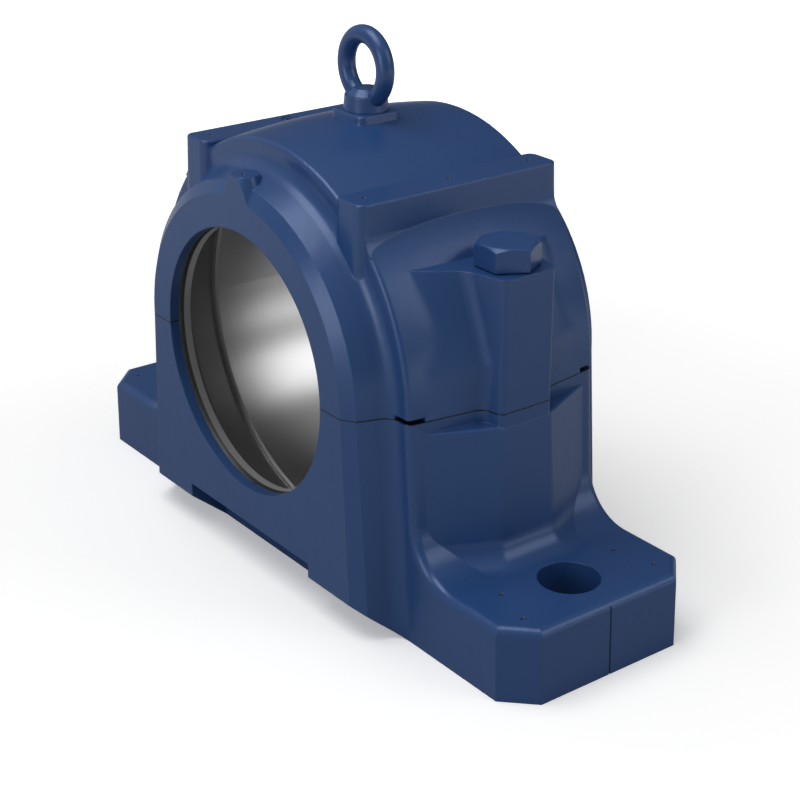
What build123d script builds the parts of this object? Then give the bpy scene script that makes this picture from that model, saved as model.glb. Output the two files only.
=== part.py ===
from build123d import *
import os

# Split plummer block housing for a 250 mm bearing seat, empty, as supplied.
# X runs along the foot, Y along the shaft, Z up from the machined underside.

# ---- foot
foot_length = 500.0
foot_width = 150.0
foot_thickness = 50.0
foot_corner = 19.5
foot_end_draft = 1.8
hole_spacing = 420.0
foot_hole_diameter = 40.0
wall_foot_x = 152.0
wall_split_x = 144.5
sweep_radius = 34.0
rim_radius = 5.5

# ---- bearing seat and shaft openings
centre_height = 150.0
seat_diameter = 250.0
seat_width = 88.0
seat_chamfer = 1.5
nose_width = 205.0
opening_diameter = 180.0
groove_diameter = 188.0
groove_outer = 95.3
groove_inner = 91.3
land_inner = 86.4
chamber_radius = 129.0
chamber_outer = 64.0
throat_radius = 111.0
throat_outer = 77.0

# ---- drum and nose outsides, as radii about the shaft axis
drum_edge_r = 143.5
drum_crown_r = 148.5
drum_edge_round = 3.0
nose_face_r = 111.5
nose_side_r = 120.0
nose_root_r = 127.3
nose_bevel = 6.0
nose_root_round = 12.0
nose_face_low = 120.0
nose_side_low = 131.2
nose_root_low = 138.6
flange_low = 149.0
flange_split = 138.0
nose_bottom = 23.0
notch_width = 145.0
notch_height = 10.0

# ---- cap bolts, pillars and buttresses
bolt_offset = 144.0
pillar_face = 166.0
pillar_half = 20.0
plumb_height = 180.0
pillar_top = 237.0
pillar_corner = 4.0
wall_corner = (144.3, -70.0)
flank_x = 151.3
flank_y = 23.7
flank_round = 8.0
ledge_height = 142.0
ledge_corner = (144.9, -66.5)
ledge_round = 2.0
buttress_root = 18.0
buttress_reach = 195.0
buttress_draft = 3.42
bolt_diameter = 24.0
bolt_length = 140.0
bolt_clearance = 27.0
tapped_depth = 60.0
head_across_flats = 36.0
head_height = 15.0
washer_face_diameter = 33.0
washer_face_height = 0.8

# ---- rails, eye bolt pad, nose bosses and grease plug on the cap
rail_inner = 74.0
rail_outer = 100.0
rail_top = 277.4
rail_length = 157.0
rail_draft = 2.0
rail_corner = 6.0
rail_rim = 1.5
rail_root = 25.0
pad_half = 16.5
pad_corner = 5.0
pad_top = 303.0
nose_boss_top = 276.5
nose_boss_r = 9.0
nose_boss_y = 94.0
nose_boss_draft = 25.0
pry_slot_height = 3.0
pry_slot_x = 131.0
pry_slot_y = 63.0
plug_x = -88.0
plug_diameter = 13.2
plug_length = 11.0
plug_recess = 0.6
plug_socket = 6.0
grease_passage = 6.0

# ---- eye bolt
eye_collar_diameter = 30.0
eye_collar_height = 10.0
eye_neck_diameter = 24.0
eye_neck_height = 4.3
eye_ring_r = 21.0
eye_bar = 12.0
eye_height = 54.5
eye_shank = 12.0
eye_shank_length = 20.0

# ---- dowels between the castings
dowel_diameter = 10.0
dowel_length = 24.0
dowel_x = 137.0
dowel_y = 34.0

# ---- centre-punched setting-out marks
dimple_r = 1.6
dimple_depth = 1.4
foot_marks = ((200.5, 46.4), (229.5, 54.5))
rail_mark_y = 65.0
centre_line_width = 1.2
centre_line_depth = 0.8

half_width = foot_width / 2
nose_half = nose_width / 2
foot_end = foot_length / 2
rail_middle = (rail_inner + rail_outer) / 2
split_plane = Plane.XY.offset(centre_height)
shaft_plane = Plane((0, 0, centre_height), x_dir=(0, 1, 0), z_dir=(1, 0, 0))
shaft_axis = Axis((0, 0, centre_height), (0, 1, 0))

os.makedirs("parts", exist_ok=True)


def mirrored(points):
    """An outline given on the +X side, closed by its reflection."""
    return points + [(-x, y) for x, y in reversed(points)]


def both_ways(points):
    """A quarter outline from the front to the middle, reflected to the rear."""
    return points + [(x, -y) for x, y in reversed(points)]


def circle_of(radius):
    """Selects the full-radius rims of a turned form."""
    return lambda e: e.geom_type == GeomType.CIRCLE and abs(e.radius - radius) < 0.1


def dimples(*places):
    """Cone-shaped centre marks, cut down from each place on a flat top."""
    with Locations(*places):
        Cone(
            0, dimple_r, dimple_depth,
            align=(Align.CENTER, Align.CENTER, Align.MAX), mode=Mode.SUBTRACT,
        )


# The cavity of both castings: seat, grease chambers, seal grooves, openings.
with BuildPart() as cavity:
    with BuildSketch(shaft_plane):
        with BuildLine():
            seat = seat_diameter / 2
            mouth = opening_diameter / 2
            half = [
                (seat_width / 2 - seat_chamfer, seat),
                (seat_width / 2, seat + seat_chamfer),
                (seat_width / 2, chamber_radius),
                (chamber_outer, chamber_radius),
                (throat_outer, throat_radius),
                (land_inner, mouth + 4),
                (land_inner, mouth),
                (groove_inner, mouth),
                (groove_inner, groove_diameter / 2),
                (groove_outer, groove_diameter / 2),
                (groove_outer, mouth),
                (nose_half + 5, mouth),
                (nose_half + 5, 0),
            ]
            Polyline(*reversed(half), *[(-y, r) for y, r in half], close=True)
        make_face()
    revolve(axis=shaft_axis)

# Buttress under each bolt pillar, drafted outwards from its ledge. It stands on a slab
# that is lost in the foot, so that its wide root can be eased before the two are joined.
with BuildPart() as buttress:
    with BuildSketch(Plane.XY.offset(ledge_height)) as ledge:
        with BuildLine():
            Polyline(*mirrored(both_ways([ledge_corner, (pillar_face, -pillar_half)])), close=True)
        make_face()
        fillet(ledge.vertices().filter_by(lambda v: abs(v.X) > pillar_face - 1), radius=pillar_corner)
    extrude(amount=foot_thickness - ledge_height, taper=-buttress_draft)
    ledge_rim = buttress.edges().group_by(Axis.Z)[-1].filter_by(lambda e: abs(e.center().X) > 150)
    fillet(ledge_rim, radius=ledge_round)
    with BuildSketch(Plane.XY.offset(foot_thickness)):
        Rectangle(2 * buttress_reach, foot_width + 10)
    extrude(amount=-rim_radius)
    roots = buttress.edges().filter_by(
        lambda e: abs(e.center().Z - foot_thickness) < 0.01 and 155 < abs(e.center().X) < 180
    )
    fillet(roots, radius=buttress_root)
    with BuildSketch(Plane.XY):
        Rectangle(2 * buttress_reach, foot_width - 2 * rim_radius)
    extrude(amount=centre_height, mode=Mode.INTERSECT)

# The two noses of the base, straight sided and spreading downwards.
with BuildPart() as base_nose:
    for height, face, side, root, flange in (
        (0, nose_face_low, nose_side_low, nose_root_low, flange_low),
        (centre_height, nose_face_r, nose_side_r, nose_root_r, flange_split),
    ):
        with BuildSketch(Plane.XY.offset(height)) as section:
            with BuildLine():
                quarter = [
                    (face, -nose_half), (side, -nose_half + nose_bevel), (root, -half_width),
                    (flange, -half_width),
                ]
                Polyline(*mirrored(both_ways(quarter)), close=True)
            make_face()
            roots = section.vertices().filter_by(lambda v: abs(abs(v.X) - root) < 0.1)
            fillet(roots, radius=nose_root_round)
    loft(ruled=True)

# ---------------------------------------------------------------- base casting
with BuildPart() as base:
    # foot plate and side walls, with the wide sweep between them
    with BuildSketch(Plane.XZ) as elevation:
        with BuildLine():
            side = [
                (foot_end, 0), (foot_end - foot_end_draft, foot_thickness),
                (wall_foot_x, foot_thickness), (wall_split_x, centre_height),
            ]
            Polyline(*mirrored(side), close=True)
        make_face()
        fillet(
            elevation.vertices().filter_by(lambda v: abs(abs(v.X) - wall_foot_x) < 0.1), radius=sweep_radius
        )
    extrude(amount=half_width, both=True)
    foot_corners = base.edges().filter_by(
        lambda e: abs(e.center().X) > 240 and abs(e.center().Y) > half_width - 1 and 20 < e.center().Z < 30
    )
    chamfer(foot_corners, length=foot_corner)

    # rounded rims along the two flat sides and the foot ends
    rims = base.edges().filter_by(
        lambda e: foot_thickness - 1 < e.center().Z < centre_height - 1
        and (abs(abs(e.center().Y) - half_width) < 0.1 or abs(e.center().X) > foot_end - foot_corner)
    )
    fillet(rims, radius=rim_radius)
    add(buttress.part)

    # pillar from the ledge to the split
    with BuildSketch(Plane.XY.offset(ledge_height - 6)) as outline:
        with BuildLine():
            quarter = [wall_corner, (flank_x, -flank_y), (pillar_face, -pillar_half)]
            Polyline(*mirrored(both_ways(quarter)), close=True)
        make_face()
        fillet(outline.vertices().filter_by(lambda v: abs(abs(v.X) - flank_x) < 0.1), radius=flank_round)
        fillet(outline.vertices().filter_by(lambda v: abs(v.X) > pillar_face - 0.1), radius=pillar_corner)
    extrude(amount=centre_height - ledge_height + 6)

    # noses, their undersides sloping up from the foot, with a shallow notch in the middle
    add(base_nose.part)
    for width, rise in ((foot_length, 0), (notch_width, notch_height)):
        with BuildSketch(Plane.YZ):
            with BuildLine():
                foot_edge = [(-half_width, height) for height in sorted({0, rise})]
                Polyline(
                    *foot_edge, (-nose_half, nose_bottom + rise),
                    (-nose_half - 5, nose_bottom + rise), (-nose_half - 5, 0), close=True,
                )
            make_face()
            mirror(about=Plane.YZ)
        extrude(amount=width / 2, both=True, mode=Mode.SUBTRACT)

    # bore, foot holes, tapped bolt holes and dowel holes
    add(cavity.part, mode=Mode.SUBTRACT)
    with Locations(*[(x * hole_spacing / 2, 0, foot_thickness) for x in (-1, 1)]):
        Hole(foot_hole_diameter / 2)
    with Locations(*[(x * bolt_offset, 0, centre_height) for x in (-1, 1)]):
        Hole(bolt_diameter / 2, depth=tapped_depth)
    with Locations((dowel_x, dowel_y, centre_height), (-dowel_x, -dowel_y, centre_height)):
        Hole(dowel_diameter / 2, depth=dowel_length / 2)

    # setting-out marks: punched points on the foot, a centre line down each end
    dimples(*[
        (x * along, y * across, foot_thickness)
        for x in (-1, 1) for y in (-1, 1) for along, across in foot_marks
    ])
    with BuildSketch(Plane.XZ):
        with BuildLine():
            Polyline(
                (foot_end - centre_line_depth, 0), (foot_end + 1, 0),
                (foot_end + 1 - foot_end_draft, foot_thickness),
                (foot_end - centre_line_depth - foot_end_draft, foot_thickness), close=True,
            )
        make_face()
        mirror(about=Plane.YZ)
    extrude(amount=centre_line_width / 2, both=True, mode=Mode.SUBTRACT)

# Limits of the cap: above the split and no longer than the noses.
with BuildPart() as envelope:
    with BuildSketch(split_plane):
        Rectangle(foot_length, nose_width)
    extrude(amount=pad_top)

# The two rails along the top of the drum, flared into its flanks.
with BuildPart() as rails:
    with BuildSketch(Plane.XY.offset(rail_top)):
        with Locations((-rail_middle, 0), (rail_middle, 0)):
            RectangleRounded(rail_outer - rail_inner, rail_length, rail_corner)
    extrude(amount=centre_height - rail_top, taper=-rail_draft)
    fillet(rails.edges().group_by(Axis.Z)[-1], radius=rail_rim)
    with BuildSketch(Plane.XZ):
        with BuildLine():
            reach = drum_edge_r + rail_root
            flare_x = rail_outer + rail_root
            flare_z = (reach**2 - flare_x**2) ** 0.5
            low = (flare_x * drum_edge_r / reach, centre_height + flare_z * drum_edge_r / reach)
            Polyline((rail_outer, centre_height + flare_z), (rail_outer - 10, centre_height + flare_z),
                     (rail_outer - 10, low[1]), low)
            RadiusArc(low, (rail_outer, centre_height + flare_z), rail_root)
        make_face()
        mirror(about=Plane.YZ)
    extrude(amount=half_width, both=True)

# Sides of the cap: a bolt pillar each, with a hollow easing it into a thickened wall that
# is plumb above the split, then leans in to a shelf level with the pillar top.
with BuildPart() as side_blocks:
    for sign in (-1, 1):
        for height, inner, outer, flank, hollow in (
            (centre_height, (100, -60), wall_corner, (flank_x, -flank_y), flank_round),
            (plumb_height, (98, -58), (140.5, -66), (153.5, -23.1), 10),
            (pillar_top, (90, -54), (116.4, -55), (137.6, -27.3), 15),
        ):
            with BuildSketch(Plane.XY.offset(height)) as section:
                with BuildLine():
                    points = both_ways([inner, outer, flank, (pillar_face, -pillar_half)])
                    Polyline(*[(sign * x, y) for x, y in points], close=True)
                make_face()
                flanks = section.vertices().filter_by(lambda v: abs(abs(v.X) - flank[0]) < 0.01)
                fillet(flanks, radius=hollow)
                corners = section.vertices().filter_by(lambda v: abs(v.X) > pillar_face - 0.01)
                fillet(corners, radius=pillar_corner)
        loft(ruled=True)

# ----------------------------------------------------------------- cap casting
with BuildPart() as cap:
    # drum and noses, one turned form about the shaft axis
    with BuildSketch(shaft_plane):
        with BuildLine():
            shoulder = [
                (-half_width, drum_edge_r), (-half_width, nose_root_r),
                (-nose_half + nose_bevel, nose_side_r), (-nose_half, nose_face_r), (-nose_half, 0),
            ]
            Polyline(*shoulder, *[(-y, r) for y, r in reversed(shoulder)])
            ThreePointArc((-half_width, drum_edge_r), (0, drum_crown_r), (half_width, drum_edge_r))
        make_face()
    revolve(axis=shaft_axis)
    fillet(cap.edges().filter_by(circle_of(drum_edge_r)), radius=drum_edge_round)
    fillet(cap.edges().filter_by(circle_of(nose_root_r)), radius=nose_root_round)

    # sides with the bolt pillars
    add(side_blocks.part)

    # rails, and the pad under the eye bolt
    add(rails.part)
    with BuildSketch(Plane.XY.offset(pad_top)):
        RectangleRounded(2 * pad_half, 2 * pad_half, pad_corner)
    extrude(amount=-15, taper=-8)
    fillet(cap.edges().filter_by(lambda e: e.center().Z > pad_top - 0.01), radius=rail_rim)

    # conical bosses over the noses, trimmed flush with the end faces
    with BuildSketch(Plane.XY.offset(nose_boss_top)):
        with Locations((0, -nose_boss_y), (0, nose_boss_y)):
            Circle(nose_boss_r)
    extrude(amount=-22, taper=-nose_boss_draft)
    add(envelope.part, mode=Mode.INTERSECT)

    # bore, bolt and dowel holes, grease passage, eye bolt thread
    add(cavity.part, mode=Mode.SUBTRACT)
    with Locations(*[(x * bolt_offset, 0, pillar_top) for x in (-1, 1)]):
        Hole(bolt_clearance / 2)
    with Locations((0, 0, pad_top)):
        Hole(eye_shank / 2, depth=eye_shank_length)
    with Locations((plug_x, 0, rail_top)):
        Hole(grease_passage / 2)
        Hole(plug_diameter / 2, depth=plug_length + plug_recess)
    with Locations((dowel_x, dowel_y, centre_height), (-dowel_x, -dowel_y, centre_height)):
        Cylinder(
            dowel_diameter / 2, dowel_length / 2,
            align=(Align.CENTER, Align.CENTER, Align.MIN), mode=Mode.SUBTRACT,
        )
    with BuildSketch(split_plane):
        for x in (-1, 1):
            for y in (-1, 1):
                with Locations((x * pry_slot_x, y * pry_slot_y)):
                    Rectangle(40, 40, align=(
                        Align.MIN if x > 0 else Align.MAX, Align.MIN if y > 0 else Align.MAX,
                    ))
    extrude(amount=pry_slot_height, mode=Mode.SUBTRACT)
    dimples(
        (rail_middle, 0, rail_top),
        *[(x * rail_middle, y * rail_mark_y, rail_top) for x in (-1, 1) for y in (-1, 1)],
        (0, -nose_boss_y - 1, nose_boss_top), (0, nose_boss_y + 1, nose_boss_top),
    )

# ------------------------------------------------------------------- cap bolts
# The two upper corners of a hexagon head are turned off at 30 degrees.
with BuildPart() as head_turning:
    with BuildSketch(Plane.XZ):
        with BuildLine():
            flat = head_across_flats / 2
            top = washer_face_height + head_height
            Polyline(
                (0, 0), (washer_face_diameter / 2, 0), (washer_face_diameter / 2, washer_face_height),
                (flat + 5, washer_face_height), (flat + 5, top - 3.6), (flat - 1.2, top), (0, top),
                close=True,
            )
        make_face()
    revolve()
    with BuildSketch():
        RegularPolygon(flat, side_count=6, major_radius=False)
    extrude(amount=top, mode=Mode.INTERSECT)
    with BuildSketch():
        Circle(bolt_diameter / 2)
    extrude(amount=-bolt_length)
    chamfer(head_turning.edges().group_by(Axis.Z)[0], length=2)

for side, sign in (("left", -1), ("right", 1)):
    with BuildPart(Plane((sign * bolt_offset, 0, pillar_top))) as cap_bolt:
        add(head_turning.part)
    cap_bolt.part.label = "cap_bolt_" + side
    export_step(cap_bolt.part, "parts/cap_bolt_" + side + ".step")

# ------------------------------------------------------------------ dowel pins
for side, sign in (("left", -1), ("right", 1)):
    with BuildPart(Plane((sign * dowel_x, sign * dowel_y, centre_height))) as dowel_pin:
        Cylinder(dowel_diameter / 2, dowel_length)
        chamfer(dowel_pin.edges().filter_by(GeomType.CIRCLE), length=1)
    dowel_pin.part.label = "dowel_pin_" + side
    export_step(dowel_pin.part, "parts/dowel_pin_" + side + ".step")

# -------------------------------------------------------------------- eye bolt
with BuildPart() as eye_bolt:
    with BuildSketch(Plane.XY.offset(pad_top)):
        Circle(eye_collar_diameter / 2)
    extrude(amount=eye_collar_height, taper=6)
    with BuildSketch(Plane.XY.offset(pad_top + eye_collar_height)):
        Circle(eye_neck_diameter / 2)
    extrude(amount=eye_neck_height, taper=45)
    ring_height = pad_top + eye_height - eye_ring_r - eye_bar / 2
    with BuildSketch(Plane.XY.offset(ring_height)):
        with Locations((eye_ring_r, 0)):
            Circle(eye_bar / 2)
    revolve(axis=Axis((0, 0, ring_height), (0, 1, 0)))
    with BuildSketch(Plane.XY.offset(pad_top)):
        Circle(eye_shank / 2)
    extrude(amount=-eye_shank_length)

# ---------------------------------------------------------------- grease plug
with BuildPart() as grease_plug:
    with BuildSketch(Plane((plug_x, 0, rail_top - plug_recess))):
        Circle(plug_diameter / 2)
    extrude(amount=-plug_length)
    chamfer(grease_plug.edges().group_by(Axis.Z)[-1], length=0.6)
    with BuildSketch(Plane((plug_x, 0, rail_top - plug_recess))):
        RegularPolygon(plug_socket / 2, side_count=6, major_radius=False)
    extrude(amount=-plug_length / 2, mode=Mode.SUBTRACT)

base.part.label = "base"
export_step(base.part, "parts/base.step")
cap.part.label = "cap"
export_step(cap.part, "parts/cap.step")
eye_bolt.part.label = "eye_bolt"
export_step(eye_bolt.part, "parts/eye_bolt.step")
grease_plug.part.label = "grease_plug"
export_step(grease_plug.part, "parts/grease_plug.step")
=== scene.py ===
import math

import bpy
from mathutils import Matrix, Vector


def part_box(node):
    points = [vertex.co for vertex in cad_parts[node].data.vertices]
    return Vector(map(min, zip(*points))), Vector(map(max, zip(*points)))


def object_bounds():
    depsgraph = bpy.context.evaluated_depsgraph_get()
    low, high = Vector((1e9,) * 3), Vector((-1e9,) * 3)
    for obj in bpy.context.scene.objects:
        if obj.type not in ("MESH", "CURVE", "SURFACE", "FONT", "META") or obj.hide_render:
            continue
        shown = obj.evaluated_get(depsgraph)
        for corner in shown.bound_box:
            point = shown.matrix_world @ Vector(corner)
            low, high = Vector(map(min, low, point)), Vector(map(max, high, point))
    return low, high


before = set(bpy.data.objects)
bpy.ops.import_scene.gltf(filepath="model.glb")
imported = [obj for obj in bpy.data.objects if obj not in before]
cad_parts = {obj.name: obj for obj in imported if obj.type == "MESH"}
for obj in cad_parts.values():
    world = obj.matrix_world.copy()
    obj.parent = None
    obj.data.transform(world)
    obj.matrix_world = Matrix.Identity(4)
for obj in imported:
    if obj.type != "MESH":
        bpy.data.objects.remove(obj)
cad_low, cad_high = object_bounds()
_, base_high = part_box("base")
cap_low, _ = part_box("cap")

# All lengths are in metres, in the frame that the solids are in.

# ---- camera: seen from the front right, a little above the eye bolt
CAMERA_PLACE = Vector((0.9130, -0.6649, 0.6027))
CAMERA_AZIMUTH = math.radians(52.817)
CAMERA_ELEVATION = math.radians(24.173)
CAMERA_LENS = 80.0
CAMERA_SENSOR = 36.0

# ---- where the enamel ends and each kind of metal starts in the turned bore: radii from the
# shaft axis, and distances along it from the middle; the ends lie just past the faces they take in
SHAFT_HEIGHT = base_high.z
SEAT_CHAMFER_START = 0.0426
SEAT_END = 0.0442
CHAMBER_END = 0.066
CHAMBER_LIMIT = 0.1345
THROAT_END = 0.077
THROAT_LIMIT = 0.1155
LAND_START = 0.0862
GROOVE_FLOOR = 0.0903
GROOVE_END = 0.0954

# ---- painted shade on the castings: the joint's hairline, and the punch marks as distances from the middle
SPLIT_HEIGHT = cap_low.z
SPLIT_LINE = 0.0005
PUNCH_MARKS = ((0.2005, 0.0464), (0.2295, 0.0545), (0.087, 0.0), (0.087, 0.065), (0.0, 0.095))
PUNCH_RADIUS = 0.0015

# ---- soft edges; the hollow is where the drum runs out into the cap's sides, and each of its
# directions has four places: it starts, is whole, begins to fade and ends
EDGE_ROUND = 0.0012
HOLLOW_ROUND = 0.010
HOLLOW_ALONG = (0.036, 0.048, 0.060, 0.068)
HOLLOW_UP = (0.150, 0.162, 0.226, 0.238)
HOLLOW_ACROSS = (0.108, 0.118, 0.150, 0.156)

# ---- colours, linear
ENAMEL = (0.021, 0.068, 0.208)
ENAMEL_LIGHT = (0.024, 0.076, 0.228)
JOINT_SHADE = (0.004, 0.008, 0.020)
SEAT_STEEL = (0.66, 0.66, 0.66)
CHAMBER_IRON = (0.24, 0.24, 0.24)
PIN_STEEL = (0.50, 0.50, 0.51)
FLOOR_LIT = (0.45, 0.45, 0.45)
FLOOR_SEEN = (0.90, 0.90, 0.90)

# ---- finish
ENAMEL_METALLIC = 0.14
ENAMEL_SPECULAR = 0.55
ENAMEL_ROUGHNESS = (0.28, 0.35)
PIN_ROUGHNESS = (0.22, 0.36)
SEAT_ROUGHNESS = 0.28
TURNED_EDGE_DULLING = 0.26
SEAT_ANISOTROPY = 0.40
CHAMBER_METALLIC = 0.85
CHAMBER_ROUGHNESS = 0.42

# ---- the floor glows a little at the camera, more with distance, and reflects more dimly
FLOOR_REACH = 12.0
FLOOR_GLOW_NEAR = 0.30
FLOOR_GLOW_FAR = 0.6
FLOOR_FADE = (0.25, 1.3)
FLOOR_IN_REFLECTIONS = 0.6

# ---- soft light from the studio round the object: azimuth and elevation of its middle in
# degrees, how tightly it is gathered, and its strength, over a dim surround
SURROUND = 0.05
GLOWS = (
    (0, 90, 3.0, 0.35),
    (300, 30, 3.0, 0.18),
    (200, 15, 5.0, 0.45),
    (30, 15, 4.0, 0.22),
)

# ---- softboxes: azimuth and elevation in degrees, distance, width, height and brightness
SOFTBOXES = (
    ("front", 280, 16, 2.5, 1.1, 1.1, 3.0),
    ("rear_right", 36, 31, 2.5, 1.2, 1.2, 1.7),
    ("rear_strip", 31, 0, 2.5, 1.3, 0.3, 1.5),
    ("overhead", 250, 72, 2.3, 1.6, 1.6, 3.3),
)


def material(name):
    """A new material, its node tree and its Principled shader."""
    mat = bpy.data.materials.new(name)
    mat.use_nodes = True
    return mat, mat.node_tree, mat.node_tree.nodes["Principled BSDF"]


def add_node(tree, kind, **values):
    """A node of that kind, with its properties and unlinked sockets set."""
    node = tree.nodes.new(kind)
    for key, value in values.items():
        if key in node.inputs:
            node.inputs[key].default_value = value
        else:
            setattr(node, key, value)
    return node


def feed(tree, socket, value):
    """Links a socket to another one, or sets it to a number."""
    if isinstance(value, (int, float)):
        socket.default_value = value
    else:
        tree.links.new(value, socket)


def calculate(tree, operation, *values):
    """A Math node on sockets or numbers; gives its output."""
    node = add_node(tree, "ShaderNodeMath", operation=operation)
    for socket, value in zip(node.inputs, values):
        feed(tree, socket, value)
    return node.outputs[0]


def vector(tree, x=0.0, y=0.0, z=0.0):
    """A vector from three sockets or numbers."""
    node = add_node(tree, "ShaderNodeCombineXYZ")
    for socket, value in zip(node.inputs, (x, y, z)):
        feed(tree, socket, value)
    return node.outputs[0]


def ramp(tree, value, source=(0.0, 1.0), target=(0.0, 1.0), interpolation="LINEAR"):
    """A Map Range node from the source range to the target range."""
    node = add_node(tree, "ShaderNodeMapRange", interpolation_type=interpolation)
    for name, number in zip(("From Min", "From Max", "To Min", "To Max"), (*source, *target)):
        node.inputs[name].default_value = number
    feed(tree, node.inputs["Value"], value)
    return node.outputs[0]


def band(tree, value, start, full, fade, end):
    """1 between full and fade, falling smoothly to 0 at start and end."""
    rise = ramp(tree, value, (start, full), interpolation="SMOOTHSTEP")
    fall = ramp(tree, value, (fade, end), interpolation="SMOOTHSTEP")
    return calculate(tree, "SUBTRACT", rise, fall)


def position(tree):
    """Object coordinates, which are those of the frame, whole and split into X, Y and Z."""
    coords = add_node(tree, "ShaderNodeTexCoord").outputs["Object"]
    split = add_node(tree, "ShaderNodeSeparateXYZ")
    feed(tree, split.inputs[0], coords)
    return coords, split.outputs


def noise(tree, coords, scale, detail=3.0):
    node = add_node(tree, "ShaderNodeTexNoise", Scale=scale, Detail=detail, Roughness=0.55)
    feed(tree, node.inputs["Vector"], coords)
    return node.outputs[0]


def mixed_colour(tree, factor, first, second):
    """Colour between the first, a socket or three numbers, and the second, three numbers."""
    node = add_node(tree, "ShaderNodeMix", data_type="RGBA")
    feed(tree, node.inputs["Factor"], factor)
    if isinstance(first, tuple):
        node.inputs["A"].default_value = (*first, 1)
    else:
        feed(tree, node.inputs["A"], first)
    node.inputs["B"].default_value = (*second, 1)
    return node.outputs["Result"]


def bump(tree, height, strength, distance, normal=None):
    """A normal bumped by a height, on top of another one where that is given."""
    node = add_node(tree, "ShaderNodeBump", Strength=strength, Distance=distance)
    feed(tree, node.inputs["Height"], height)
    if normal:
        feed(tree, node.inputs["Normal"], normal)
    return node.outputs[0]


def enamel(tree, shader, coords, easing=EDGE_ROUND):
    """Makes the shader sprayed enamel and gives its mottled colour; easing rounds the edges."""
    rounded = add_node(tree, "ShaderNodeBevel", samples=4)
    feed(tree, rounded.inputs["Radius"], easing)
    grain = bump(tree, noise(tree, coords, 420.0, 2.0), 0.10, 0.0004, rounded.outputs[0])
    swell = bump(tree, noise(tree, coords, 38.0, 2.0), 0.18, 0.002, grain)
    feed(tree, shader.inputs["Normal"], swell)
    feed(tree, shader.inputs["Roughness"], ramp(tree, noise(tree, coords, 60.0), target=ENAMEL_ROUGHNESS))
    shader.inputs["Metallic"].default_value = ENAMEL_METALLIC
    shader.inputs["Specular IOR Level"].default_value = ENAMEL_SPECULAR
    return mixed_colour(tree, noise(tree, coords, 14.0, 4.0), ENAMEL, ENAMEL_LIGHT)


def turned_steel(tree, x, y, z, height, along):
    """Fine rings round the shaft axis, streaks that run with them, duller chamfers and lands."""
    steel = add_node(tree, "ShaderNodeBsdfPrincipled", Metallic=1.0, Anisotropic=SEAT_ANISOTROPY)
    steel.inputs["Base Color"].default_value = (*SEAT_STEEL, 1)
    edges = calculate(tree, "GREATER_THAN", along, SEAT_CHAMFER_START)
    dulling = calculate(tree, "MULTIPLY", edges, TURNED_EDGE_DULLING)
    feed(tree, steel.inputs["Roughness"], calculate(tree, "ADD", dulling, SEAT_ROUGHNESS))
    slow_x, fast_y, slow_z = (
        calculate(tree, "MULTIPLY", value, rate) for value, rate in ((x, 6.0), (y, 1500.0), (z, 6.0))
    )
    rings = vector(tree, slow_x, fast_y, slow_z)
    feed(tree, steel.inputs["Normal"], bump(tree, noise(tree, rings, 1.0, 2.0), 0.12, 0.0003))
    feed(tree, steel.inputs["Tangent"], vector(tree, x=height, z=calculate(tree, "MULTIPLY", x, -1.0)))
    return steel.outputs[0]


def chamber_iron(tree):
    """The dark unpainted iron of the grease chambers and seal grooves."""
    iron = add_node(tree, "ShaderNodeBsdfPrincipled", Metallic=CHAMBER_METALLIC, Roughness=CHAMBER_ROUGHNESS)
    iron.inputs["Base Color"].default_value = (*CHAMBER_IRON, 1)
    return iron.outputs[0]


def mixed_shader(tree, factor, first, second):
    node = add_node(tree, "ShaderNodeMixShader")
    for socket, value in zip(node.inputs, (factor, first, second)):
        feed(tree, socket, value)
    return node.outputs[0]


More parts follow.
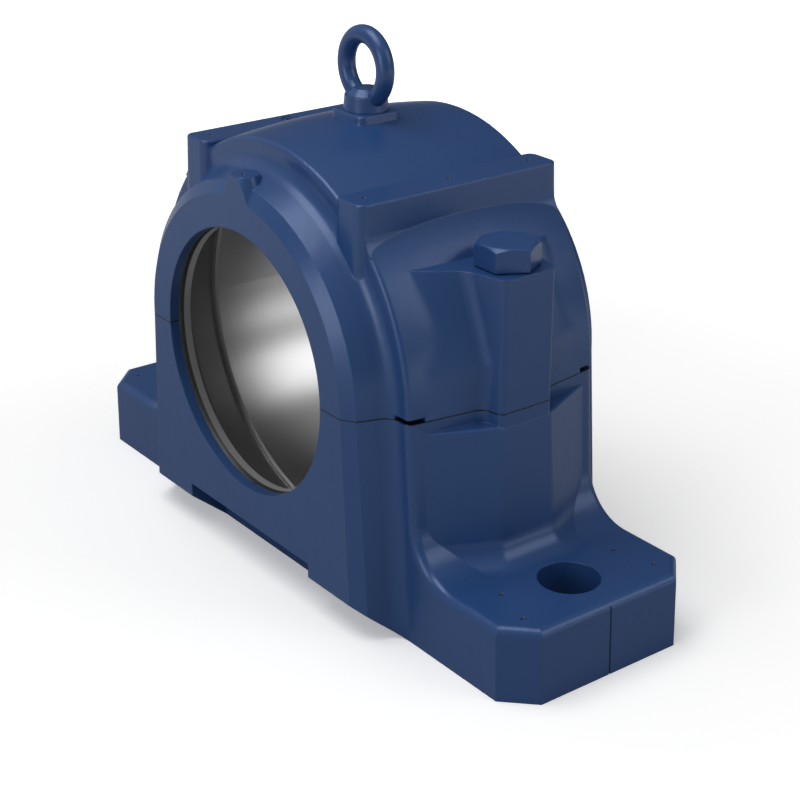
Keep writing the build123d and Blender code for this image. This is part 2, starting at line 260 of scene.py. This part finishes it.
def casting_material():
    """Blue enamel outside; turned steel seat, dark chambers and bright lands inside the bore."""
    mat, tree, paint = material("casting_enamel")
    coords, (x, y, z) = position(tree)
    across = calculate(tree, "ABSOLUTE", x)
    along = calculate(tree, "ABSOLUTE", y)

    # the drum runs out into the cap's sides in a wide soft hollow
    hollow = calculate(
        tree, "MULTIPLY",
        band(tree, along, *HOLLOW_ALONG),
        calculate(tree, "MULTIPLY", band(tree, z, *HOLLOW_UP), band(tree, across, *HOLLOW_ACROSS)),
    )
    easing = calculate(tree, "ADD", calculate(tree, "MULTIPLY", hollow, HOLLOW_ROUND), EDGE_ROUND)
    colour = enamel(tree, paint, coords, easing)

    # punched setting-out marks, painted dark with the shade that falls in their hollows
    level = vector(tree, across, along)
    punch_shade = 0.0
    for place in PUNCH_MARKS:
        apart = add_node(tree, "ShaderNodeVectorMath", operation="DISTANCE")
        feed(tree, apart.inputs[0], level)
        apart.inputs[1].default_value = (*place, 0)
        within = calculate(tree, "LESS_THAN", apart.outputs["Value"], PUNCH_RADIUS)
        punch_shade = calculate(tree, "MAXIMUM", within, punch_shade)

    # the joint between base and cap, a hairline of shade
    from_split = calculate(tree, "ABSOLUTE", calculate(tree, "SUBTRACT", z, SPLIT_HEIGHT))
    hairline = calculate(tree, "LESS_THAN", from_split, SPLIT_LINE)
    # painted shade: the joint's hairline and the punch marks together
    painted_shade = calculate(tree, "MAXIMUM", hairline, punch_shade)
    feed(tree, paint.inputs["Base Color"], mixed_colour(tree, painted_shade, colour, JOINT_SHADE))

    # the bore: within a radius that narrows from the chambers to the throats
    height = calculate(tree, "SUBTRACT", z, SHAFT_HEIGHT)
    squares = [calculate(tree, "MULTIPLY", value, value) for value in (x, height)]
    radius = calculate(tree, "SQRT", calculate(tree, "ADD", *squares))
    limit = ramp(tree, along, (CHAMBER_END, THROAT_END), (CHAMBER_LIMIT, THROAT_LIMIT))
    inside = calculate(
        tree, "MULTIPLY",
        calculate(tree, "LESS_THAN", radius, limit),
        calculate(tree, "LESS_THAN", along, GROOVE_END),
    )

    # steel on the seat and on the lands between chamber and groove, iron on the rest
    seat = calculate(tree, "LESS_THAN", along, SEAT_END)
    land = calculate(tree, "GREATER_THAN", along, LAND_START)
    groove = calculate(tree, "MULTIPLY", calculate(tree, "GREATER_THAN", radius, GROOVE_FLOOR), land)
    bright = calculate(tree, "MAXIMUM", seat, calculate(tree, "SUBTRACT", land, groove))
    steel = turned_steel(tree, x, y, z, height, along)
    metals = mixed_shader(tree, bright, chamber_iron(tree), steel)

    whole = mixed_shader(tree, inside, paint.outputs[0], metals)
    feed(tree, tree.nodes["Material Output"].inputs["Surface"], whole)
    return mat


def fastener_material():
    """The same enamel on bolts, eye bolt and plug."""
    mat, tree, paint = material("fastener_enamel")
    coords, _ = position(tree)
    feed(tree, paint.inputs["Base Color"], enamel(tree, paint, coords))
    return mat


def pin_material():
    """Ground steel of the dowels, with grinding marks round them."""
    mat, tree, steel = material("pin_steel")
    _, (_, _, z) = position(tree)
    steel.inputs["Base Color"].default_value = (*PIN_STEEL, 1)
    steel.inputs["Metallic"].default_value = 1.0
    rings = vector(tree, z=calculate(tree, "MULTIPLY", z, 2500.0))
    feed(tree, steel.inputs["Roughness"], ramp(tree, noise(tree, rings, 1.0), target=PIN_ROUGHNESS))
    return mat


def dress(node, mat):
    """Gives a CAD node its material."""
    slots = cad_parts[node].data.materials
    slots.clear()
    slots.append(mat)


def toward(azimuth, elevation):
    """The direction of a point in the studio, given in degrees, as a unit vector."""
    azimuth, elevation = math.radians(azimuth), math.radians(elevation)
    level = math.cos(elevation)
    return Vector((level * math.cos(azimuth), level * math.sin(azimuth), math.sin(elevation)))


def floor():
    """A pale floor that shows white and keeps the object's shadow."""
    mat, tree, pale = material("floor")
    pale.inputs["Roughness"].default_value = 0.9
    pale.inputs["Specular IOR Level"].default_value = 0.0
    pale.inputs["Emission Color"].default_value = (1, 1, 1, 1)
    rays = add_node(tree, "ShaderNodeLightPath").outputs
    seen = rays["Is Camera Ray"]
    feed(tree, pale.inputs["Base Color"], mixed_colour(tree, seen, FLOOR_LIT, FLOOR_SEEN))

    # whiter with distance, so that only the shadow near the object is left
    coords, _ = position(tree)
    distance = add_node(tree, "ShaderNodeVectorMath", operation="LENGTH")
    feed(tree, distance.inputs[0], coords)
    whitening = ramp(
        tree, distance.outputs["Value"], FLOOR_FADE, (0.0, FLOOR_GLOW_FAR), interpolation="SMOOTHSTEP"
    )
    reflected = calculate(tree, "MULTIPLY", rays["Is Glossy Ray"], FLOOR_IN_REFLECTIONS)
    far = calculate(tree, "MULTIPLY", calculate(tree, "MAXIMUM", seen, reflected), whitening)
    near = calculate(tree, "MULTIPLY", seen, FLOOR_GLOW_NEAR)
    feed(tree, pale.inputs["Emission Strength"], calculate(tree, "ADD", near, far))

    corners = [(-FLOOR_REACH, -FLOOR_REACH), (FLOOR_REACH, -FLOOR_REACH)]
    corners += [(FLOOR_REACH, FLOOR_REACH), (-FLOOR_REACH, FLOOR_REACH)]
    mesh = bpy.data.meshes.new("floor")
    mesh.from_pydata([(x, y, cad_low.z) for x, y in corners], [], [(0, 1, 2, 3)])
    mesh.materials.append(mat)
    ground = bpy.data.objects.new("floor", mesh)
    bpy.context.scene.collection.objects.link(ground)


def surround():
    """White to the camera; to the object, soft light gathered in a few directions."""
    world = bpy.data.worlds.new("studio")
    world.use_nodes = True
    tree = world.node_tree
    direction = add_node(tree, "ShaderNodeTexCoord").outputs["Generated"]
    light = SURROUND
    for azimuth, elevation, gathered, strength in GLOWS:
        facing = add_node(tree, "ShaderNodeVectorMath", operation="DOT_PRODUCT")
        feed(tree, facing.inputs[0], direction)
        facing.inputs[1].default_value = toward(azimuth, elevation)
        ahead = calculate(tree, "MAXIMUM", facing.outputs["Value"], 0.0)
        glow = calculate(tree, "POWER", ahead, gathered)
        light = calculate(tree, "MULTIPLY_ADD", glow, strength, light)
    rays = add_node(tree, "ShaderNodeLightPath").outputs
    seen = calculate(tree, "MAXIMUM", rays["Is Camera Ray"], rays["Is Transmission Ray"])
    unseen = calculate(tree, "SUBTRACT", 1.0, seen)
    background = tree.nodes["Background"]
    background.inputs["Color"].default_value = (1, 1, 1, 1)
    feed(tree, background.inputs["Strength"], calculate(tree, "MULTIPLY_ADD", light, unseen, seen))
    bpy.context.scene.world = world


def softbox(name, azimuth, elevation, distance, width, height, brightness):
    """A flat lamp that looks at the middle of the object."""
    lamp = bpy.data.lights.new(name, "AREA")
    lamp.shape = "RECTANGLE"
    lamp.size = width
    lamp.size_y = height
    lamp.energy = brightness * math.pi * width * height
    holder = bpy.data.objects.new(name, lamp)
    outward = toward(azimuth, elevation)
    holder.location = (cad_low + cad_high) / 2 + outward * distance
    holder.rotation_euler = (-outward).to_track_quat("-Z", "Y").to_euler()
    bpy.context.scene.collection.objects.link(holder)


def camera():
    view = bpy.data.cameras.new("camera")
    view.lens = CAMERA_LENS
    view.sensor_width = CAMERA_SENSOR
    holder = bpy.data.objects.new("camera", view)
    holder.location = CAMERA_PLACE
    holder.rotation_euler = (math.pi / 2 - CAMERA_ELEVATION, 0, CAMERA_AZIMUTH)
    bpy.context.scene.collection.objects.link(holder)
    bpy.context.scene.camera = holder


camera()
floor()
surround()
for lamp in SOFTBOXES:
    softbox(*lamp)

casting = casting_material()
fastener = fastener_material()
for node in ("base", "cap"):
    dress(node, casting)
for node in ("cap_bolt_left", "cap_bolt_right", "eye_bolt", "grease_plug"):
    dress(node, fastener)
pin = pin_material()
for node in ("dowel_pin_left", "dowel_pin_right"):
    dress(node, pin)

bpy.context.scene.view_settings.view_transform = "Standard"
